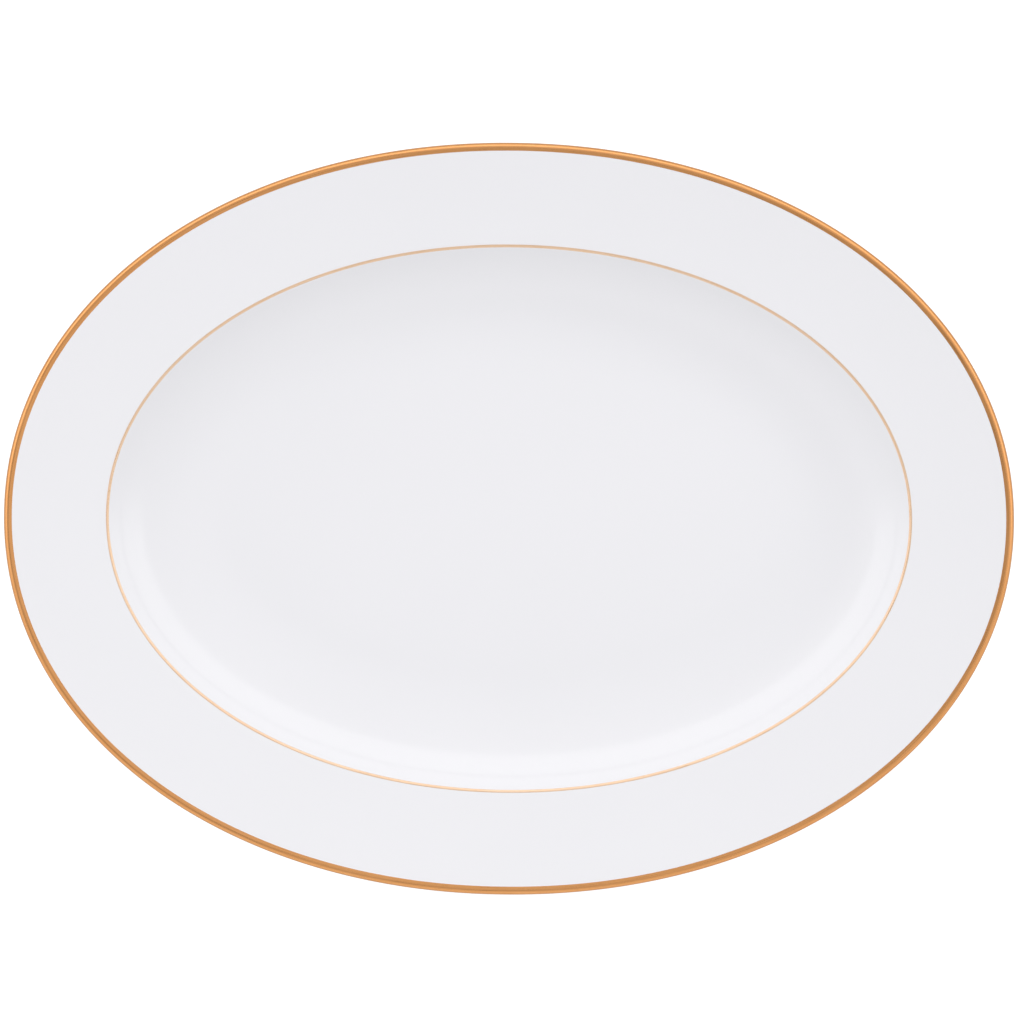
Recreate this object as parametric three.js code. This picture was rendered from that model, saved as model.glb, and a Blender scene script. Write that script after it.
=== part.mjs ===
// An oval serving platter in glazed china, with a gilt edge and a gilt line along the verge,
// where the broad rim breaks into the well.
//
// It is built as the piece is made. The biscuit body is one section, turned as a round blank and
// then drawn out to the oval. The glaze is a thin coat on the biscuit, and the gilding is a thinner
// coat on the glaze. A coat shares every corner of the surface under it, so the two touch and never
// overlap. The foot ring's bearing edge is wiped clean of glaze, and stays bare.
//
// Millimetres, +Z up, +X along the platter. The origin is the middle of the plane it stands on.
import * as THREE from "three";
import { mergeGeometries, mergeVertices } from "three/addons/utils/BufferGeometryUtils.js";

// The finished piece, over its gilding.
const LENGTH = 356;
const WIDTH = 265;
const HEIGHT = 26;

// The plan. 2 is an ellipse, and a little more is a fuller oval.
const EDGE_FULLNESS = 2.05;
const FLOOR_FULLNESS = 2.0;
const SEGMENTS = 60;

// The coats. They are thicker than the real ones, which are too thin to model.
const GLAZE = 0.2;
const GILT = 0.05;

// The rim. Insets are measured inwards from the finished edge, and slopes are in degrees.
const LIP_ROLL = 1.4;
const LIP_CROWN = 1.4;
const LIP_UNDER_ROLL = 1.6;
const LIP_UNDER_DROP = 1.25;
const RIM_SLOPE_AT_LIP = 9;
const RIM_SLOPE_AT_VERGE = 5;
const VERGE_INSET = 36.2;
const VERGE_RADIUS = 4;
const VERGE_THICKNESS = 3.4;
const UNDER_VERGE_FILLET = 6.5;

// The well. The wall leaves the verge at its slope, and is one bend down to the flat floor. The ease
// is how far in the flat starts from where that slope would have met it.
const WALL_SLOPE = 37;
const WALL_THICKNESS = 3.9;
const FLOOR_EASE = 26;
const FLOOR_THICKNESS = 4.6;

// The foot ring. The setback is measured from the same place as the ease.
const FOOT_HEIGHT = 5;
const FOOT_SETBACK = 9.5;
const BEARING_WIDTH = 2.6;
const BEARING_ROUND = 0.5;
const FOOT_DRAFT = 0.7;
const FOOT_FILLET = 1.8;
const GLAZE_LINE = 1.3;

// The gilding.
const BAND_WIDTH = 2.9;
const BAND_UNDER_WIDTH = 0.9;
const LINE_WIDTH = 1;

const BLANK_RADIUS = WIDTH / 2;
const COATS = GLAZE + GILT;
const FLOOR_TOP = FOOT_HEIGHT + FLOOR_THICKNESS;
const EDGE_HEIGHT = HEIGHT - COATS - LIP_CROWN;

// ---- The section, as points in the round blank: x is the radius and y the height ----

// The point at an inset and a height.
function at(inset, height) {
  return new THREE.Vector2(BLANK_RADIUS - inset, height);
}

// The point a length along the slope from another, where a positive length runs inwards and down.
function along(point, slope, length) {
  const angle = THREE.MathUtils.degToRad(slope);
  return new THREE.Vector2(point.x - length * Math.cos(angle), point.y - length * Math.sin(angle));
}

// The point at an inset, down a slope from another.
function downTo(inset, point, slope) {
  return along(point, slope, (point.x - (BLANK_RADIUS - inset)) / Math.cos(THREE.MathUtils.degToRad(slope)));
}

// The point at a depth under a surface of that slope.
function under(point, slope, depth) {
  return along(point, slope + 90, depth);
}

// Where a line of one slope through one point meets a line of another slope through another point.
function crossing(a, slopeA, b, slopeB) {
  const [tanA, tanB] = [slopeA, slopeB].map((s) => Math.tan(THREE.MathUtils.degToRad(s)));
  const x = (b.y - a.y + a.x * tanA - b.x * tanB) / (tanA - tanB);
  return new THREE.Vector2(x, a.y + (x - a.x) * tanA);
}

const bend = (a, b, c, steps) => new THREE.QuadraticBezierCurve(a, b, c).getPoints(steps);

// The lip is two quarter ellipses that meet at the edge. Each ends where it has the rim's slope.
function lipArc(roll, rise, side, steps) {
  const slope = Math.tan(THREE.MathUtils.degToRad(RIM_SLOPE_AT_LIP));
  const end = Math.PI / 2 + side * Math.atan((slope * roll) / rise);
  const centre = at(COATS + roll, EDGE_HEIGHT);
  return new THREE.EllipseCurve(centre.x, centre.y, roll, rise, 0, side * end, side < 0).getPoints(steps);
}

const lipTop = lipArc(LIP_ROLL, LIP_CROWN, 1, 6);
const lipUnder = lipArc(LIP_UNDER_ROLL, LIP_UNDER_DROP, -1, 3).reverse();

// The verge rounds off the sharp corner between the rim's slope and the wall's.
const halfTurn = THREE.MathUtils.degToRad((WALL_SLOPE - RIM_SLOPE_AT_VERGE) / 2);
const vergeTangent = VERGE_RADIUS * Math.tan(halfTurn);

// The rim is one bend between the lip and the verge.
const lipEndInset = BLANK_RADIUS - lipTop.at(-1).x;
const rimMiddle = downTo((lipEndInset + VERGE_INSET) / 2, lipTop.at(-1), RIM_SLOPE_AT_LIP);
const vergeCorner = downTo(VERGE_INSET, rimMiddle, RIM_SLOPE_AT_VERGE);
const vergeStart = along(vergeCorner, RIM_SLOPE_AT_VERGE, -vergeTangent);
const vergeEnd = along(vergeCorner, WALL_SLOPE, vergeTangent);
const rimFace = bend(lipTop.at(-1), rimMiddle, vergeStart, 2);
const verge = bend(vergeStart, vergeCorner, vergeEnd, 2);

// The wall is one bend from the verge to the edge of the flat floor.
const wallFoot = crossing(vergeEnd, WALL_SLOPE, at(0, FLOOR_TOP), 0);
const wallFootInset = BLANK_RADIUS - wallFoot.x;
const floorInset = wallFootInset + FLOOR_EASE;
const wallFace = bend(vergeEnd, wallFoot, at(floorInset, FLOOR_TOP), 6);

// The back follows the face at the thickness of the rim, the wall and the floor.
const halfTurnThickness = VERGE_THICKNESS / Math.cos(halfTurn);
const backCorner = under(vergeCorner, (RIM_SLOPE_AT_VERGE + WALL_SLOPE) / 2, halfTurnThickness);
const rimBackEnd = along(backCorner, RIM_SLOPE_AT_VERGE, -UNDER_VERGE_FILLET);
const rimBackMiddle = crossing(lipUnder[0], RIM_SLOPE_AT_LIP, rimBackEnd, RIM_SLOPE_AT_VERGE);
const wallBackStart = along(backCorner, WALL_SLOPE, UNDER_VERGE_FILLET);
const rimBack = bend(rimBackEnd, rimBackMiddle, lipUnder[0], 2);
const underVerge = bend(wallBackStart, backCorner, rimBackEnd, 3);
const wallBackFoot = crossing(under(wallFoot, WALL_SLOPE, WALL_THICKNESS), WALL_SLOPE, at(0, FOOT_HEIGHT), 0);
const wallBack = bend(at(floorInset, FOOT_HEIGHT), wallBackFoot, wallBackStart, 24);

// The underside at an inset. It is flat inside the foot ring, and the back of the wall outside it.
const footInset = wallFootInset + FOOT_SETBACK;
function underside(inset) {
  if (inset > footInset) return at(inset, FOOT_HEIGHT);
  const i = wallBack.findIndex((p) => p.x > BLANK_RADIUS - inset);
  const [p, q] = [wallBack[i - 1], wallBack[i]];
  return at(inset, THREE.MathUtils.mapLinear(BLANK_RADIUS - inset, p.x, q.x, p.y, q.y));
}

// One flank of the foot ring, from the bearing up to the underside. Side is 1 for the outer one.
function footFlank(bearingInset, side) {
  const cornerInset = bearingInset - side * BEARING_ROUND;
  const rootInset = cornerInset - side * FOOT_DRAFT;
  const flankFoot = at(cornerInset, BEARING_ROUND);
  const root = underside(rootInset);
  const filletFoot = root.clone().lerp(flankFoot, FOOT_FILLET / root.distanceTo(flankFoot));
  return [
    ...bend(at(bearingInset, 0), at(cornerInset, 0), flankFoot, 2),
    ...bend(filletFoot, root, underside(rootInset - side * FOOT_FILLET), 2),
  ];
}

const innerFlank = footFlank(footInset + BEARING_WIDTH, -1).reverse();
const outerFlank = footFlank(footInset, 1);
const visibleWallBack = wallBack.filter((p, i) => i % 4 === 0 && p.x > outerFlank.at(-1).x + FOOT_FILLET);

// The whole section, from the middle of the underside out, over the lip and in to the middle of the floor.
const SAME_POINT = 1e-3;
const outline = [
  at(BLANK_RADIUS, FOOT_HEIGHT),
  ...innerFlank,
  ...outerFlank,
  ...visibleWallBack,
  ...underVerge,
  ...rimBack,
  ...lipUnder,
  ...lipTop,
  ...rimFace,
  ...verge,
  ...wallFace,
  at(BLANK_RADIUS, FLOOR_TOP),
].filter((p, i, all) => i === 0 || p.distanceTo(all[i - 1]) > SAME_POINT);

// Marks the outline where it first reaches a value of x or y after a given point, and returns the mark.
function mark(axis, value, after) {
  for (let i = outline.indexOf(after) + 1; i < outline.length; i++) {
    const [p, q] = [outline[i - 1], outline[i]];
    const share = (value - p[axis]) / (q[axis] - p[axis]);
    if (share <= 0 || share > 1) continue;
    const point = p.clone().lerp(q, share);
    if (point.distanceTo(p) < SAME_POINT) return p;
    if (point.distanceTo(q) < SAME_POINT) return q;
    outline.splice(i, 0, point);
    return point;
  }
  throw new Error(`the outline never reaches ${axis} = ${value}`);
}

const widest = lipTop[0];
const radiusOf = (inset) => BLANK_RADIUS - inset;
const edgeMark = outline.find((p) => p.distanceTo(widest) < SAME_POINT);
const innerGlazeLine = mark("y", GLAZE_LINE, outline[0]);
const outerGlazeLine = mark("y", GLAZE_LINE, outerFlank[0]);
const bandBack = mark("x", radiusOf(COATS + BAND_UNDER_WIDTH), outerFlank[0]);
const bandFront = mark("x", radiusOf(BAND_WIDTH), edgeMark);
const lineOut = mark("x", radiusOf(VERGE_INSET - LINE_WIDTH / 2), bandFront);
const lineIn = mark("x", radiusOf(VERGE_INSET + LINE_WIDTH / 2), lineOut);

// ---- From the section to solids ----

// A coat's outer surface: the points moved out along their normals, thinning to nothing at a free end.
function grown(points, thickness) {
  return points.map((p, i) => {
    const [before, after] = [points[i - 1], points[i + 1]];
    const onAxis = Math.abs(p.x) < SAME_POINT;
    if (!(before && after) && !onAxis) return p.clone();
    const tangent = (after ?? p).clone().sub(before ?? p).normalize();
    return new THREE.Vector2(onAxis ? p.x : p.x + tangent.y * thickness, p.y - tangent.x * thickness);
  });
}

// The plan position of a point of the round blank, once the blank is drawn out to the oval.
// Outside the floor each ring keeps its inset from the edge, and the floor's rings close on the middle.
function drawnOut(radius, angle) {
  const floorRadius = BLANK_RADIUS - floorInset;
  const ringRadius = Math.max(radius, floorRadius);
  const inset = BLANK_RADIUS - ringRadius;
  const fullness = THREE.MathUtils.lerp(EDGE_FULLNESS, FLOOR_FULLNESS, inset / floorInset);
  const full = (value) => Math.sign(value) * Math.abs(value) ** (2 / fullness);
  const share = Math.min(radius / floorRadius, 1);
  return [
    (LENGTH / 2 - inset) * full(Math.cos(angle)) * share,
    (WIDTH / 2 - inset) * full(Math.sin(angle)) * share,
  ];
}

// The surface that a stretch of section turns into.
function skin(points) {
  const geometry = new THREE.LatheGeometry(points, SEGMENTS).rotateX(Math.PI / 2);
  geometry.deleteAttribute("normal").deleteAttribute("uv");
  const position = geometry.getAttribute("position");
  for (let i = 0; i < position.count; i++) {
    const [x, y] = [position.getX(i), position.getY(i)];
    position.setXY(i, ...drawnOut(Math.hypot(x, y), Math.atan2(y, x)));
  }
  return geometry;
}

// The same surface, facing the other way.
function turnedOver(geometry) {
  geometry.setIndex([...geometry.index.array].reverse());
  return geometry;
}

// One closed mesh from skins that meet at their edges.
function closed(...skins) {
  const merged = mergeVertices(mergeGeometries(skins), SAME_POINT);
  const corners = [...merged.index.array];
  const faces = [];
  for (let i = 0; i < corners.length; i += 3) {
    const [a, b, c] = corners.slice(i, i + 3);
    if (a !== b && b !== c && c !== a) faces.push(a, b, c);
  }
  merged.setIndex(faces);
  merged.computeVertexNormals();
  return merged;
}

function part(name, geometry, material) {
  const mesh = new THREE.Mesh(geometry, material);
  mesh.name = name;
  return mesh;
}

// A coat over a stretch of surface.
function coat(name, base, thickness, material) {
  return part(name, closed(skin(grown(base, thickness)), turnedOver(skin(base))), material);
}

// The stretch of a run of points between two marks of the outline, both included.
const between = (points, from, to) => points.slice(outline.indexOf(from), outline.indexOf(to) + 1);

const biscuit = new THREE.MeshStandardMaterial({ color: 0xe9e5dc, roughness: 0.8 });
const glaze = new THREE.MeshStandardMaterial({ color: 0xf2f2f5, roughness: 0.06 });
const gilt = new THREE.MeshStandardMaterial({ color: 0xd8954f, roughness: 0.18, metalness: 1 });

const platter = new THREE.Group();
platter.add(part("china_body", closed(skin(outline)), biscuit));
platter.add(coat("foot_well_glaze", between(outline, outline[0], innerGlazeLine), GLAZE, glaze));
platter.add(coat("glaze_coat", between(outline, outerGlazeLine, outline.at(-1)), GLAZE, glaze));

// The gilding lies on the glaze, so it starts from the glaze's outer surface.
const glazed = between(outline, outerGlazeLine, outline.at(-1));
const glazedSurface = [...outline.slice(0, outline.indexOf(outerGlazeLine)), ...grown(glazed, GLAZE)];
platter.add(coat("rim_gilding", between(glazedSurface, bandBack, bandFront), GILT, gilt));
platter.add(coat("verge_gilding", between(glazedSurface, lineOut, lineIn), GILT, gilt));

export default platter;
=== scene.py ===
"""An oval china platter: glazed biscuit with a gilt edge and a gilt line on the verge.

Every piece is a section of the platter turned as a round blank and drawn out to the oval. The
section is worked out once, in millimetres, and each piece takes the stretch of it that it lies on.
A Geometry Nodes tree does the turning, so the tree's sizes are the platter's sizes.
"""

import math

import bpy
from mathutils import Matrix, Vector


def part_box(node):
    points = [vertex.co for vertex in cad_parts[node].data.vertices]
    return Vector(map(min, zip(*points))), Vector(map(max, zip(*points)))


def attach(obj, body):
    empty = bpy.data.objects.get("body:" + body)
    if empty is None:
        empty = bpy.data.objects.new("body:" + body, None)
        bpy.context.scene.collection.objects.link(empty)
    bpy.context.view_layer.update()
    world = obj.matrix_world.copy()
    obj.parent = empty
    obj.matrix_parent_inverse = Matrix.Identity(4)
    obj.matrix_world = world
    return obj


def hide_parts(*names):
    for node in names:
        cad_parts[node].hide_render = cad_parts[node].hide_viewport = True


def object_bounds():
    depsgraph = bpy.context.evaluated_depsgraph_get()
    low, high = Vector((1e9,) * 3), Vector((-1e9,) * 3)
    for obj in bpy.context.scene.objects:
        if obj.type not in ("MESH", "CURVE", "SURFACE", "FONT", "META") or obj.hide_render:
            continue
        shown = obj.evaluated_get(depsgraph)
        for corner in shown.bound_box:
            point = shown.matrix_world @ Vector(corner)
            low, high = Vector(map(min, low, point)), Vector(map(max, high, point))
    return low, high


MM = 0.001

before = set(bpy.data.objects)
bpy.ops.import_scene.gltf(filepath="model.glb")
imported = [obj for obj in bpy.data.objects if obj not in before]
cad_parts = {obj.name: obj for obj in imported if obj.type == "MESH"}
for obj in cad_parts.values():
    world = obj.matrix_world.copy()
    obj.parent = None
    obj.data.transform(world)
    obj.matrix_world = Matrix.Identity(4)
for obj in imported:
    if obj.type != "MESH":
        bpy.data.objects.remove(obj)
cad_low, cad_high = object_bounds()

# ---- Sizes in millimetres. The overall ones, the coats and the levels come from the frame ----


def node_size(node, corner, axis):
    """One coordinate of a node's box, in millimetres. Corner is 0 for the lowest and 1 for the highest."""
    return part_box(node)[corner][axis] / MM


X, Y, Z = 0, 1, 2
LOWEST, HIGHEST = 0, 1
HALF_LENGTH = cad_high.x / MM
HALF_WIDTH = cad_high.y / MM
HEIGHT = cad_high.z / MM
GLAZE = node_size("glaze_coat", HIGHEST, X) - node_size("china_body", HIGHEST, X)
GILT = node_size("rim_gilding", HIGHEST, X) - node_size("glaze_coat", HIGHEST, X)
COATS = GLAZE + GILT
FOOT_HEIGHT = node_size("foot_well_glaze", HIGHEST, Z)
GLAZE_LINE = node_size("glaze_coat", LOWEST, Z)

EDGE_FULLNESS = 2.05
FLOOR_FULLNESS = 2.0

LIP_ROLL = 1.4
LIP_CROWN = 1.4
LIP_UNDER_ROLL = 1.6
LIP_UNDER_DROP = 1.25
RIM_SLOPE_AT_LIP = 9
RIM_SLOPE_AT_VERGE = 5
LINE_WIDTH = 1
VERGE_INSET = HALF_LENGTH - node_size("verge_gilding", HIGHEST, X) + LINE_WIDTH / 2
VERGE_RADIUS = 4
VERGE_THICKNESS = 3.4
UNDER_VERGE_FILLET = 6.5
WALL_SLOPE = 37
WALL_THICKNESS = 3.9
FLOOR_EASE = 26
FLOOR_THICKNESS = 4.6
FLOOR_TOP = FOOT_HEIGHT + FLOOR_THICKNESS
FOOT_SETBACK = 9.5
BEARING_WIDTH = 2.6
BEARING_ROUND = 0.5
FOOT_DRAFT = 0.7
FOOT_FILLET = 1.8
FILLET_CLEARANCE = 0.4
BAND_WIDTH = 2.9
BAND_UNDER_WIDTH = 0.9

# How far the gilder's brush wanders at the edges of each band, and over what width that fades.
BAND_WANDER = 0.30
LINE_WANDER = 0.20
BRUSH_FADE = 0.45

# The two edges of a band read the wander this far apart, so that they differ.
EDGES_APART = 7.0

# Two points closer than this, in millimetres, are one. In the finished pieces it is in metres.
TOUCHING = 1e-3
MERGED = 0.5e-3 * MM

# An edge that folds by more than this is sharp.
CREASE = math.radians(50)

# Steps round the oval, for the body and its coats and for the gilt bands.
ROUND_STEPS = 360
BAND_ROUND_STEPS = 720

# ---- The section, in millimetres: x is the inset from the finished edge, y is the height ----


def along(point, slope, length):
    """The point a length along a slope from another, where a positive length runs inwards and down."""
    angle = math.radians(slope)
    return point + length * Vector((math.cos(angle), -math.sin(angle)))


def under(point, slope, depth):
    """The point at a depth under a surface of that slope."""
    return along(point, slope + 90, depth)


def down_to(inset, point, slope):
    """The point at an inset, down a slope from another."""
    return along(point, slope, (inset - point.x) / math.cos(math.radians(slope)))


def crossing(a, slope_a, b, slope_b):
    """Where a line of one slope through one point meets a line of another slope through another."""
    tan_a, tan_b = math.tan(math.radians(slope_a)), math.tan(math.radians(slope_b))
    x = (b.y - a.y - a.x * tan_a + b.x * tan_b) / (tan_b - tan_a)
    return Vector((x, a.y - (x - a.x) * tan_a))


def bend(a, b, c, steps):
    """Points on the curve from a to c that leaves and arrives along the lines to b."""
    shares = [i / steps for i in range(steps + 1)]
    return [a * (1 - t) ** 2 + b * 2 * t * (1 - t) + c * t**2 for t in shares]


def lip_arc(roll, rise, side, steps):
    """A quarter ellipse from the edge, up or down, that ends where it has the rim's slope."""
    slope = math.tan(math.radians(RIM_SLOPE_AT_LIP))
    end = math.pi / 2 + side * math.atan(slope * roll / rise)
    edge_height = HEIGHT - COATS - LIP_CROWN
    turns = [end * i / steps for i in range(steps + 1)]
    return [
        Vector((COATS + roll * (1 - math.cos(t)), edge_height + side * rise * math.sin(t)))
        for t in turns
    ]


def platter_section():
    """The biscuit's outline from the middle of the underside, out, over the lip and in to the
    middle of the floor. Each stretch is its own list of points."""
    lip_top = lip_arc(LIP_ROLL, LIP_CROWN, 1, 16)
    lip_under = lip_arc(LIP_UNDER_ROLL, LIP_UNDER_DROP, -1, 10)[::-1]

    half_turn = math.radians((WALL_SLOPE - RIM_SLOPE_AT_VERGE) / 2)
    verge_tangent = VERGE_RADIUS * math.tan(half_turn)
    rim_middle = down_to((lip_top[-1].x + VERGE_INSET) / 2, lip_top[-1], RIM_SLOPE_AT_LIP)
    verge_corner = down_to(VERGE_INSET, rim_middle, RIM_SLOPE_AT_VERGE)
    verge_start = along(verge_corner, RIM_SLOPE_AT_VERGE, -verge_tangent)
    verge_end = along(verge_corner, WALL_SLOPE, verge_tangent)

    wall_foot = crossing(verge_end, WALL_SLOPE, Vector((0, FLOOR_TOP)), 0)
    floor_inset = wall_foot.x + FLOOR_EASE
    floor_edge = Vector((floor_inset, FLOOR_TOP))

    back_depth = VERGE_THICKNESS / math.cos(half_turn)
    back_corner = under(verge_corner, (RIM_SLOPE_AT_VERGE + WALL_SLOPE) / 2, back_depth)
    rim_back_end = along(back_corner, RIM_SLOPE_AT_VERGE, -UNDER_VERGE_FILLET)
    rim_back_middle = crossing(lip_under[0], RIM_SLOPE_AT_LIP, rim_back_end, RIM_SLOPE_AT_VERGE)
    wall_back_start = along(back_corner, WALL_SLOPE, UNDER_VERGE_FILLET)
    foot_level = Vector((0, FOOT_HEIGHT))
    wall_back_foot = crossing(under(wall_foot, WALL_SLOPE, WALL_THICKNESS), WALL_SLOPE, foot_level, 0)
    wall_back = bend(Vector((floor_inset, FOOT_HEIGHT)), wall_back_foot, wall_back_start, 28)

    foot_inset = wall_foot.x + FOOT_SETBACK

    def underside(inset):
        """The point of the underside at an inset, as it is without the foot ring."""
        if inset > foot_inset:
            return Vector((inset, FOOT_HEIGHT))
        i = next(i for i, p in enumerate(wall_back) if p.x < inset)
        p, q = wall_back[i - 1], wall_back[i]
        return p.lerp(q, (inset - p.x) / (q.x - p.x))

    def foot_flank(bearing_inset, side):
        """One flank of the foot ring, up from its bearing face. Side is 1 outside and -1 inside."""
        corner_inset = bearing_inset - side * BEARING_ROUND
        root_inset = corner_inset - side * FOOT_DRAFT
        flank_foot = Vector((corner_inset, BEARING_ROUND))
        root = underside(root_inset)
        fillet_foot = root.lerp(flank_foot, FOOT_FILLET / (root - flank_foot).length)
        bearing = Vector((bearing_inset, 0))
        rounding = bend(bearing, Vector((corner_inset, 0)), flank_foot, 4)
        fillet = bend(fillet_foot, root, underside(root_inset - side * FOOT_FILLET), 7)
        return rounding + fillet

    outer_flank = foot_flank(foot_inset, 1)
    stretches = {
        "foot_well": [Vector((HALF_WIDTH, FOOT_HEIGHT))],
        "inner_flank": foot_flank(foot_inset + BEARING_WIDTH, -1)[::-1],
        "outer_flank": outer_flank,
        "wall_back": [p for p in wall_back if p.x < outer_flank[-1].x - FILLET_CLEARANCE],
        "under_verge": bend(wall_back_start, back_corner, rim_back_end, 9)[1:],
        "rim_back": bend(rim_back_end, rim_back_middle, lip_under[0], 8)[1:],
        "lip_under": lip_under[1:],
        "lip_top": lip_top[1:],
        "rim_face": bend(lip_top[-1], rim_middle, verge_start, 12)[1:],
        "verge": bend(verge_start, verge_corner, verge_end, 10)[1:],
        "wall_face": bend(verge_end, wall_foot, floor_edge, 30)[1:],
        "floor": [floor_edge.lerp(Vector((HALF_WIDTH, FLOOR_TOP)), t) for t in (0.15, 0.5, 1)],
    }
    return stretches, floor_inset


def grown(points, thickness):
    """A coat's outer surface: the points moved out along their normals, thinning to nothing at a
    free end. An end on the platter's axis is not free."""
    moved = []
    for i, p in enumerate(points):
        on_axis = abs(p.x - HALF_WIDTH) < TOUCHING
        at_end = i in (0, len(points) - 1)
        if at_end and not on_axis:
            moved.append(p.copy())
            continue
        way = (points[min(i + 1, len(points) - 1)] - points[max(i - 1, 0)]).normalized()
        normal = Vector((-way.y, way.x))
        moved.append(p + thickness * (Vector((0, normal.y)) if on_axis else normal))
    return moved


def split_at(points, axis, value, start=0):
    """Puts a point where the outline first reaches a value after a start, and returns its index."""
    for i in range(start + 1, len(points)):
        p, q = points[i - 1], points[i]
        step = q[axis] - p[axis]
        share = (value - p[axis]) / step if step else -1
        if 0 < share <= 1:
            points.insert(i, p.lerp(q, share))
            return i
    raise ValueError(f"the outline never reaches {value} on axis {axis}")


# ---- Node trees ----


def feed(tree, socket, value):
    """Links a socket to another one, or sets it to a value."""
    if isinstance(value, bpy.types.NodeSocket):
        tree.links.new(value, socket)
    else:
        socket.default_value = value


def add_node(tree, kind, inputs=(), **settings):
    """A node with its settings made and its inputs linked or set, by name or number or in order."""
    node = tree.nodes.new(kind)
    for name, value in settings.items():
        setattr(node, name, value)
    pairs = inputs.items() if isinstance(inputs, dict) else enumerate(inputs)
    for key, value in pairs:
        feed(tree, node.inputs[key], value)
    return node


def sums_in(tree):
    """A short way to do sums in a geometry tree or a shader tree."""

    def calc(operation, *values):
        return add_node(tree, "ShaderNodeMath", values, operation=operation).outputs[0]

    return calc


def group_with(name, tree_kind, inputs, outputs):
    """A new node group with named sockets, and its input and output nodes."""
    tree = bpy.data.node_groups.new(name, tree_kind)
    for socket_name, socket_kind, default in inputs:
        socket = tree.interface.new_socket(socket_name, in_out="INPUT", socket_type=socket_kind)
        if default is not None:
            socket.default_value = default
    for socket_name, socket_kind in outputs:
        tree.interface.new_socket(socket_name, in_out="OUTPUT", socket_type=socket_kind)
    given = tree.nodes.new("NodeGroupInput").outputs
    result = tree.nodes.new("NodeGroupOutput").inputs
    return tree, given, result


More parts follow.
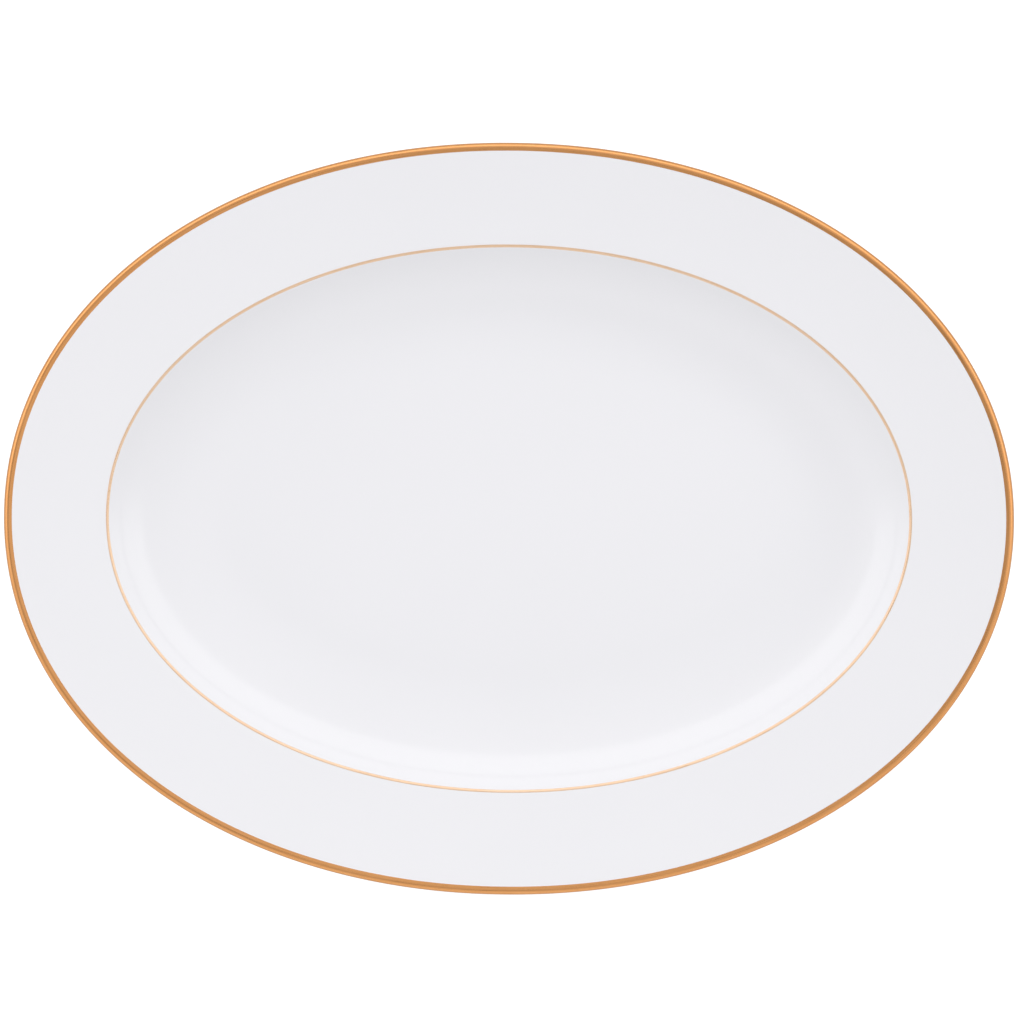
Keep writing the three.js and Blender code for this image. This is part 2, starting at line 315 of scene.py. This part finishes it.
def oval_turning_tree():
    """Turns a section about the platter's axis and draws the round out to the oval.

    The section carries each point's radius and height in the round blank. Outside the floor a ring
    keeps its inset from the edge, and the floor's rings close on the middle. A gilder's brush
    wanders a little, so the section's free edges may slide along the surface under them.
    """
    tree, given, result = group_with(
        "Turned and drawn to the oval",
        "GeometryNodeTree",
        [
            ("Section", "NodeSocketGeometry", None),
            ("Steps Round", "NodeSocketInt", ROUND_STEPS),
            ("Half Length", "NodeSocketFloat", HALF_LENGTH * MM),
            ("Half Width", "NodeSocketFloat", HALF_WIDTH * MM),
            ("Floor Inset", "NodeSocketFloat", 0.0),
            ("Edge Fullness", "NodeSocketFloat", EDGE_FULLNESS),
            ("Floor Fullness", "NodeSocketFloat", FLOOR_FULLNESS),
            ("Brush Wander", "NodeSocketFloat", 0.0),
            ("Wander Seed", "NodeSocketFloat", 0.0),
            ("Material", "NodeSocketMaterial", None),
        ],
        [("Piece", "NodeSocketGeometry")],
    )
    calc = sums_in(tree)

    def stored(name, kind="FLOAT"):
        node = add_node(tree, "GeometryNodeInputNamedAttribute", [name], data_type=kind)
        return node.outputs["Attribute"]

    path = add_node(tree, "GeometryNodeCurvePrimitiveCircle", {"Resolution": given["Steps Round"]})
    share_round = add_node(tree, "GeometryNodeSplineParameter").outputs["Factor"]
    turned = calc("MULTIPLY", share_round, math.tau)
    turned_path = add_node(
        tree,
        "GeometryNodeStoreNamedAttribute",
        {"Geometry": path.outputs["Curve"], "Name": "turn", "Value": turned},
        data_type="FLOAT",
        domain="POINT",
    )
    section = add_node(tree, "GeometryNodeMeshToCurve", [given["Section"]])
    skin = add_node(
        tree,
        "GeometryNodeCurveToMesh",
        {"Curve": turned_path.outputs["Geometry"], "Profile Curve": section.outputs["Curve"]},
    )

    cosine = calc("COSINE", stored("turn"))
    sine = calc("SINE", stored("turn"))

    wander_point = add_node(tree, "ShaderNodeCombineXYZ", [cosine, sine, stored("brush_side")])
    wander = add_node(
        tree,
        "ShaderNodeTexNoise",
        {"Vector": wander_point.outputs[0], "W": given["Wander Seed"], "Scale": 9.0, "Detail": 3.0},
        noise_dimensions="4D",
    )
    slide = calc("MULTIPLY", calc("SUBTRACT", wander.outputs[0], 0.5), given["Brush Wander"])
    brush = add_node(tree, "ShaderNodeSeparateXYZ", [stored("brush_way", "FLOAT_VECTOR")]).outputs
    radius = calc("MULTIPLY_ADD", brush[0], slide, stored("blank_radius"))
    height = calc("MULTIPLY_ADD", brush[2], slide, stored("height"))

    floor_radius = calc("SUBTRACT", given["Half Width"], given["Floor Inset"])
    inset = calc("SUBTRACT", given["Half Width"], calc("MAXIMUM", radius, floor_radius))
    share_in = calc("DIVIDE", inset, given["Floor Inset"])
    fuller = calc("SUBTRACT", given["Floor Fullness"], given["Edge Fullness"])
    power = calc("DIVIDE", 2.0, calc("MULTIPLY_ADD", fuller, share_in, given["Edge Fullness"]))
    closing = calc("MINIMUM", calc("DIVIDE", radius, floor_radius), 1.0)

    def across(half_size, wave):
        full = calc("MULTIPLY", calc("SIGN", wave), calc("POWER", calc("ABSOLUTE", wave), power))
        return calc("MULTIPLY", calc("MULTIPLY", calc("SUBTRACT", half_size, inset), full), closing)

    place = add_node(
        tree,
        "ShaderNodeCombineXYZ",
        [across(given["Half Length"], cosine), across(given["Half Width"], sine), height],
    )
    placed = add_node(
        tree, "GeometryNodeSetPosition", {"Geometry": skin.outputs["Mesh"], "Position": place.outputs[0]}
    )
    closed = add_node(
        tree, "GeometryNodeMergeByDistance", {"Geometry": placed.outputs[0], "Distance": MERGED}
    )
    outward = add_node(tree, "GeometryNodeFlipFaces", [closed.outputs[0]])

    # A band's own coordinates: round the oval in metres, and across the section in metres.
    round_x = calc("MULTIPLY", cosine, given["Half Length"])
    round_y = calc("MULTIPLY", sine, given["Half Width"])
    lay = add_node(tree, "ShaderNodeCombineXYZ", [round_x, round_y, stored("run")])
    laid = add_node(
        tree,
        "GeometryNodeStoreNamedAttribute",
        {"Geometry": outward.outputs[0], "Name": "lay", "Value": lay.outputs[0]},
        data_type="FLOAT_VECTOR",
        domain="POINT",
    )
    smooth = add_node(tree, "GeometryNodeSetShadeSmooth", {"Geometry": laid.outputs[0]}, domain="FACE")
    angle = add_node(tree, "GeometryNodeInputMeshEdgeAngle").outputs["Unsigned Angle"]
    folded = add_node(tree, "FunctionNodeCompare", [angle, CREASE], operation="GREATER_THAN")
    creased = add_node(
        tree,
        "GeometryNodeSetShadeSmooth",
        {"Geometry": smooth.outputs[0], "Selection": folded.outputs[0], "Shade Smooth": False},
        domain="EDGE",
    )
    real = add_node(tree, "GeometryNodeRealizeInstances", [creased.outputs[0]])
    finished = add_node(
        tree, "GeometryNodeSetMaterial", {"Geometry": real.outputs[0], "Material": given["Material"]}
    )
    tree.links.new(finished.outputs[0], result["Piece"])
    return tree


def brush_slide(point, skin):
    """Which way a band's point slides as the brush wanders, and where its edge reads the wander."""
    to_first, to_last = (point - skin[0]).length, (point - skin[-1]).length
    by_first = to_first < to_last
    way = (skin[1] - skin[0] if by_first else skin[-1] - skin[-2]).normalized()
    strength = max(0.0, 1 - min(to_first, to_last) / BRUSH_FADE)
    return Vector((-way.x, 0, way.y)) * strength, 0.0 if by_first else EDGES_APART


def section_mesh(name, points, closed, skin_points=0):
    """The section as a wire, with what the turning tree reads stored on its points.

    Skin_points says how many of the points, from the first, are the outer skin of a gilt band.
    """
    count = len(points)
    edges = [(i, i + 1) for i in range(count - 1)] + ([(count - 1, 0)] if closed else [])
    mesh = bpy.data.meshes.new(name)
    mesh.from_pydata([Vector((HALF_WIDTH - p.x, 0, p.y)) * MM for p in points], edges, [])

    def store(attribute, kind, values):
        field = "vector" if kind == "FLOAT_VECTOR" else "value"
        mesh.attributes.new(attribute, kind, "POINT").data.foreach_set(field, values)

    runs = [0.0]
    for p, q in zip(points, points[1:]):
        runs.append(runs[-1] + (q - p).length * MM)
    store("blank_radius", "FLOAT", [(HALF_WIDTH - p.x) * MM for p in points])
    store("height", "FLOAT", [p.y * MM for p in points])
    store("run", "FLOAT", runs)

    ways, sides = [], []
    for p in points:
        way, side = brush_slide(p, points[:skin_points]) if skin_points else (Vector(), 0.0)
        ways += [*way]
        sides.append(side)
    store("brush_way", "FLOAT_VECTOR", ways)
    store("brush_side", "FLOAT", sides)
    return mesh


def turn(name, wire, tree, settings):
    """Turns a section into a finished piece, as a plain mesh at the origin."""
    piece = bpy.data.objects.new(name, wire)
    bpy.context.scene.collection.objects.link(piece)
    modifier = piece.modifiers.new("Turning", "NODES")
    modifier.node_group = tree
    sockets = {s.name: s.identifier for s in tree.interface.items_tree if s.in_out == "INPUT"}
    for socket_name, value in settings.items():
        modifier[sockets[socket_name]] = value
    bpy.context.view_layer.update()
    evaluated = piece.evaluated_get(bpy.context.evaluated_depsgraph_get())
    mesh = bpy.data.meshes.new_from_object(evaluated)
    piece.modifiers.remove(modifier)
    piece.data = mesh
    mesh.name = name
    return piece


# ---- Materials ----


def shader_group(name, inputs, outputs):
    """A shader node group, and a short way to do sums in it."""
    tree, given, result = group_with(name, "ShaderNodeTree", inputs, outputs)
    return tree, given, result, sums_in(tree)


def noise(tree, vector, scale, detail=2.0, roughness=0.5):
    inputs = {"Vector": vector, "Scale": scale, "Detail": detail, "Roughness": roughness}
    return add_node(tree, "ShaderNodeTexNoise", inputs).outputs[0]


def ranged(tree, value, low, high, to_low=0.0, to_high=1.0, curve="LINEAR"):
    """A value carried from one range to another, and held at the ends of it."""
    inputs = [value, low, high, to_low, to_high]
    return add_node(tree, "ShaderNodeMapRange", inputs, interpolation_type=curve).outputs[0]


def ripple_group():
    """The slow unevenness of a dipped glaze, and the finer orange peel on it, as a height."""
    tree, given, result, calc = shader_group(
        "Glaze ripple",
        [
            ("Place", "NodeSocketVector", None),
            ("Slow Height", "NodeSocketFloat", 1.0),
            ("Peel Height", "NodeSocketFloat", 0.1),
        ],
        [("Height", "NodeSocketFloat")],
    )
    slow = noise(tree, given["Place"], 28.0, 1.0)
    peel = noise(tree, given["Place"], 420.0, 1.0)
    peel_height = calc("MULTIPLY", peel, given["Peel Height"])
    tree.links.new(calc("MULTIPLY_ADD", slow, given["Slow Height"], peel_height), result["Height"])
    return tree


def grain_group():
    """Fine grain: a height, and a mask of its hollows, for fired clay and for burnished gold."""
    tree, given, result, _ = shader_group(
        "Fine grain",
        [("Place", "NodeSocketVector", None), ("Scale", "NodeSocketFloat", 2500.0)],
        [("Height", "NodeSocketFloat"), ("Hollows", "NodeSocketFloat")],
    )
    fine = noise(tree, given["Place"], given["Scale"], 4.0, 0.65)
    tree.links.new(fine, result["Height"])
    tree.links.new(ranged(tree, fine, 0.46, 0.3), result["Hollows"])
    return tree


def handling_group():
    """The faint marks of use: a mask of soft rubbed patches, and one of fine straight scratches."""
    tree, given, result, calc = shader_group(
        "Handling marks",
        [("Place", "NodeSocketVector", None), ("Amount", "NodeSocketFloat", 1.0)],
        [("Rubbed", "NodeSocketFloat"), ("Scratches", "NodeSocketFloat")],
    )
    patches = noise(tree, given["Place"], 35.0, 3.0, 0.6)
    rubbed = ranged(tree, patches, 0.45, 0.75)
    tree.links.new(calc("MULTIPLY", rubbed, given["Amount"]), result["Rubbed"])
    total = 0.0
    for turned, stretch in ((0.5, 900.0), (1.7, 1100.0), (2.6, 1000.0)):
        lined = add_node(
            tree,
            "ShaderNodeMapping",
            {"Vector": given["Place"], "Rotation": (0, 0, turned), "Scale": (stretch, stretch * 0.03, 1.0)},
        )
        line = noise(tree, lined.outputs[0], 1.0, 1.0)
        total = calc("MAXIMUM", total, ranged(tree, line, 0.72, 0.80))
    tree.links.new(calc("MULTIPLY", total, given["Amount"]), result["Scratches"])
    return tree


class Finish:
    """A material under construction: its tree, its Principled shader and short ways to add to it."""

    def __init__(self, name):
        self.material = bpy.data.materials.new(name)
        self.material.use_nodes = True
        self.tree = self.material.node_tree
        self.shader = next(n for n in self.tree.nodes if n.type == "BSDF_PRINCIPLED")
        self.place = add_node(self.tree, "ShaderNodeTexCoord").outputs["Object"]
        self.calc = sums_in(self.tree)

    def group(self, tree, **inputs):
        node = add_node(self.tree, "ShaderNodeGroup", node_tree=tree)
        for name, value in inputs.items():
            feed(self.tree, node.inputs[name.replace("_", " ")], value)
        return node.outputs

    def blend(self, share, a, b):
        """A colour between two, by a share that changes over the surface."""
        return add_node(self.tree, "ShaderNodeMix", {0: share, 6: a, 7: b}, data_type="RGBA").outputs[2]

    def ranged(self, value, low, high, to_low=0.0, to_high=1.0):
        return ranged(self.tree, value, low, high, to_low, to_high)

    def bump(self, height, distance, under=None):
        inputs = {"Height": height, "Distance": distance}
        if under is not None:
            inputs["Normal"] = under
        return add_node(self.tree, "ShaderNodeBump", inputs).outputs["Normal"]

    def set(self, **inputs):
        for name, value in inputs.items():
            feed(self.tree, self.shader.inputs[name.replace("_", " ")], value)


# How far the ripple, the scratches, the clay's grain and the brush strokes stand up, in metres.
RIPPLE_RELIEF = 0.12 * MM
SCRATCH_RELIEF = 0.002 * MM
GRAIN_RELIEF = 0.06 * MM
STROKE_RELIEF = 0.012 * MM


def glaze_finish(ripple, handling):
    """Clear glaze over white china: glossy and cool, a touch uneven, faintly marked by use."""
    finish = Finish("China glaze")
    marks = finish.group(handling, Place=finish.place, Amount=1.0)
    mottle = noise(finish.tree, finish.place, 14.0, 3.0)
    clear = (0.778, 0.774, 0.802, 1)
    cooler = (0.763, 0.760, 0.787, 1)
    gloss = finish.ranged(mottle, 0.3, 0.7, 0.05, 0.08)
    wave = finish.group(ripple, Place=finish.place, Slow_Height=1.0, Peel_Height=0.03)
    waved = finish.bump(wave["Height"], RIPPLE_RELIEF)
    cut = finish.calc("MULTIPLY", marks["Scratches"], -1.0)
    finish.set(
        Base_Color=finish.blend(mottle, clear, cooler),
        Roughness=finish.calc("MULTIPLY_ADD", marks["Scratches"], 0.10, gloss),
        IOR=1.5,
        Normal=finish.bump(cut, SCRATCH_RELIEF, waved),
    )
    return finish.material


def biscuit_finish(grain, handling):
    """The bare fired body on the wiped foot ring: chalky, warm, and greyed where it has stood."""
    finish = Finish("Bare biscuit")
    fine = finish.group(grain, Place=finish.place, Scale=2500.0)
    marks = finish.group(handling, Place=finish.place, Amount=1.0)
    height = add_node(finish.tree, "ShaderNodeSeparateXYZ", [finish.place]).outputs[2]
    stood_on = finish.ranged(height, 0.6 * MM, 0.0)
    clay, hollow_clay, worn_grey = (0.70, 0.67, 0.61, 1), (0.56, 0.52, 0.46, 1), (0.44, 0.42, 0.39, 1)
    grained = finish.blend(fine["Hollows"], clay, hollow_clay)
    greyed = finish.calc("MULTIPLY", stood_on, finish.ranged(marks["Rubbed"], 0.0, 1.0, 0.35, 0.9))
    finish.set(
        Base_Color=finish.blend(greyed, grained, worn_grey),
        Roughness=finish.ranged(fine["Height"], 0.3, 0.7, 0.95, 0.75),
        Normal=finish.bump(fine["Height"], GRAIN_RELIEF),
    )
    return finish.material


def gilding_finish(name, colours, cover, ripple, grain, handling):
    """Burnished gold laid on by brush round the oval, in strokes of two colours and paler where it
    is rubbed. Cover is how much of it is metal. The rest is glaze that shows through thin gold."""
    lean, full, rubbed = colours
    finish = Finish(name)
    lay = add_node(finish.tree, "ShaderNodeAttribute", attribute_name="lay").outputs["Vector"]
    drawn = add_node(finish.tree, "ShaderNodeMapping", {"Vector": lay, "Scale": (60.0, 60.0, 7000.0)})
    strokes = noise(finish.tree, drawn.outputs[0], 1.0, 3.0, 0.6)
    fine = finish.group(grain, Place=finish.place, Scale=4000.0)
    marks = finish.group(handling, Place=finish.place, Amount=1.0)
    tone = finish.blend(finish.ranged(strokes, 0.35, 0.65), lean, full)
    burnish = finish.ranged(strokes, 0.3, 0.7, 0.20, 0.34)
    wave = finish.group(ripple, Place=finish.place, Slow_Height=1.0, Peel_Height=0.05)
    waved = finish.bump(wave["Height"], RIPPLE_RELIEF)
    finish.set(
        Base_Color=finish.blend(finish.calc("MULTIPLY", marks["Rubbed"], 0.25), tone, rubbed),
        Metallic=cover,
        Roughness=finish.calc("MULTIPLY_ADD", fine["Height"], 0.08, burnish),
        Normal=finish.bump(strokes, STROKE_RELIEF, waved),
    )
    return finish.material


# ---- The platter ----

stretches, floor_inset = platter_section()
outline = [p for stretch in stretches.values() for p in stretch]

inner_line = split_at(outline, Y, GLAZE_LINE)
outer_line = split_at(outline, Y, GLAZE_LINE, outline.index(stretches["outer_flank"][0]))

glazed = outline[outer_line:]
foot_well = outline[: inner_line + 1]
glaze_top = grown(glazed, GLAZE)
foot_well_top = grown(foot_well, GLAZE)

edge_index = min(range(len(glaze_top)), key=lambda i: glaze_top[i].x)


def band_run(first_inset, last_inset, start):
    """The stretch of the glaze's outer surface between two insets, for a gilt band to lie on."""
    points = [p.copy() for p in glaze_top]
    a = split_at(points, X, first_inset, start)
    b = split_at(points, X, last_inset, max(a, edge_index))
    return points[a : b + 1]


ripple, grain, handling = ripple_group(), grain_group(), handling_group()
glaze = glaze_finish(ripple, handling)
biscuit = biscuit_finish(grain, handling)

# Each gold's colours, where a stroke lies lean, where it lies full and where it is rubbed.
band_gold = ((0.69, 0.322, 0.118, 1), (0.78, 0.370, 0.138, 1), (0.79, 0.42, 0.19, 1))
line_gold = ((0.74, 0.500, 0.330, 1), (0.80, 0.560, 0.380, 1), (0.82, 0.66, 0.52, 1))
band_gilding = gilding_finish("Burnished gilding", band_gold, 1.0, ripple, grain, handling)
line_gilding = gilding_finish("Thin gilding", line_gold, 0.6, ripple, grain, handling)
turning = oval_turning_tree()


def make_piece(node, wire, material, slot, **settings):
    """Turns a node's section into the piece that takes its place."""
    given = {"Floor Inset": floor_inset * MM, "Material": material, **settings}
    piece = turn(node + "_fine", wire, turning, given)
    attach(piece, "root")
    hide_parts(node)


for node, points, material, slot in (
    ("china_body", outline, biscuit, "biscuit"),
    ("glaze_coat", glazed[::-1] + glaze_top[1:], glaze, "glaze"),
    ("foot_well_glaze", foot_well_top + foot_well[::-1], glaze, "glaze"),
):
    make_piece(node, section_mesh(node, points, False), material, slot)

band = band_run(COATS + BAND_UNDER_WIDTH, BAND_WIDTH, 0)
line = band_run(VERGE_INSET - LINE_WIDTH / 2, VERGE_INSET + LINE_WIDTH / 2, edge_index)
for node, run, gold, wander, seed in (
    ("rim_gilding", band, band_gilding, BAND_WANDER, 3.0),
    ("verge_gilding", line, line_gilding, LINE_WANDER, 8.0),
):
    skin = grown(run, GILT)
    brushed = {"Steps Round": BAND_ROUND_STEPS, "Brush Wander": wander * MM, "Wander Seed": seed}
    make_piece(node, section_mesh(node, skin + run[-2:0:-1], True, len(skin)), gold, "gilding", **brushed)

# ---- Camera, light and floor. Sizes are in metres, and the sensor's is in millimetres ----

FLOOR_SIZE = 8.0
FLOOR_CLEARANCE = 0.02 * MM
CAMERA_HEIGHT = 2.0
CAMERA_SHIFT = (1.04 * MM, 2.35 * MM)
CAMERA_ROLL = math.radians(0.506)
VIEW_WIDTH = 360.6 * MM
SENSOR_WIDTH = 36


def tent_sky():
    """The world: a white tent with a wide window of light beyond the far side, which a narrow bar
    crosses, a lower fill from the near side, and a dim camera arm overhead at the left.

    Angles are in degrees down from straight above.
    """
    world = bpy.data.worlds.new("White tent")
    world.use_nodes = True
    tree = world.node_tree
    background = next(n for n in tree.nodes if n.type == "BACKGROUND")
    way = add_node(tree, "ShaderNodeTexCoord").outputs["Generated"]
    x, y, up = add_node(tree, "ShaderNodeSeparateXYZ", [way]).outputs
    calc = sums_in(tree)

    def fade(value, low, high, to_low, to_high):
        return ranged(tree, value, low, high, to_low, to_high, "SMOOTHSTEP")

    def below(start, end, from_value=0.0, to_value=1.0):
        """Changes from one value to another between two angles."""
        return fade(up, math.cos(math.radians(end)), math.cos(math.radians(start)), to_value, from_value)

    def product(*values):
        total = values[0]
        for value in values[1:]:
            total = calc("MULTIPLY", total, value)
        return total

    across = calc("SQRT", calc("ADD", calc("MULTIPLY", x, x), calc("MULTIPLY", y, y)))
    far_side = calc("DIVIDE", y, calc("MAXIMUM", across, 1e-4))

    pane = product(below(38, 43), below(65, 75, 1.0, 0.0), fade(far_side, -0.30, 0.21, 0.0, 1.0))
    bar = product(below(57.2, 58.5), below(59.6, 60.9, 1.0, 0.0))
    window = product(pane, calc("MULTIPLY_ADD", bar, -0.9, 1.0), 1.10)

    cloth = product(below(24, 38, 0.88, 0.98), fade(x, 0.15, 0.65, 1.0, 0.93), below(45, 78, 1.0, 0.88))
    fill = product(below(70, 76), fade(far_side, -0.36, 0.48, 1.0, 0.0), 0.70)
    tent = product(calc("ADD", cloth, fill), below(81, 88, 1.0, 0.5))

    lean = calc("MULTIPLY_ADD", x, 0.9, calc("MULTIPLY", y, 0.3))
    arm = product(below(22, 38, 1.0, 0.0), fade(lean, 0.12, -0.24, 0.0, 1.0))
    strength = product(calc("ADD", window, tent), calc("MULTIPLY_ADD", arm, -0.55, 1.0))
    tree.links.new(strength, background.inputs["Strength"])
    background.inputs["Color"].default_value = (1.0, 1.0, 1.0, 1.0)
    bpy.context.scene.world = world


def pale_floor(size):
    """A plain white table top, which can be seen through from underneath.

    It is kept white where it is looked at, and gives less light back to the platter.
    """
    mesh = bpy.data.meshes.new("floor")
    half = size / 2
    corners = [(-half, -half, 0), (half, -half, 0), (half, half, 0), (-half, half, 0)]
    mesh.from_pydata(corners, [], [(0, 1, 2, 3)])
    floor = bpy.data.objects.new("floor", mesh)
    floor.location.z = -FLOOR_CLEARANCE
    finish = Finish("White table")
    from_below = add_node(finish.tree, "ShaderNodeNewGeometry").outputs["Backfacing"]
    seen = add_node(finish.tree, "ShaderNodeLightPath").outputs["Is Camera Ray"]
    finish.set(
        Base_Color=(0.5, 0.5, 0.5, 1),
        Roughness=0.9,
        Emission_Color=(1, 1, 1, 1),
        Emission_Strength=finish.calc("MULTIPLY_ADD", seen, 0.45, 0.25),
        Alpha=finish.calc("SUBTRACT", 1.0, from_below),
    )
    mesh.materials.append(finish.material)
    bpy.context.scene.collection.objects.link(floor)


def overhead_camera():
    """A camera straight above the platter, as wide as its edge."""
    data = bpy.data.cameras.new("camera")
    data.sensor_width = SENSOR_WIDTH
    data.lens = SENSOR_WIDTH * (CAMERA_HEIGHT - HEIGHT * MM) / VIEW_WIDTH
    data.clip_end = 100
    camera = bpy.data.objects.new("camera", data)
    camera.location = (*CAMERA_SHIFT, CAMERA_HEIGHT)
    camera.rotation_euler.z = CAMERA_ROLL
    bpy.context.scene.collection.objects.link(camera)
    bpy.context.scene.camera = camera


tent_sky()
pale_floor(FLOOR_SIZE)
overhead_camera()
bpy.context.scene.view_settings.view_transform = "Standard"
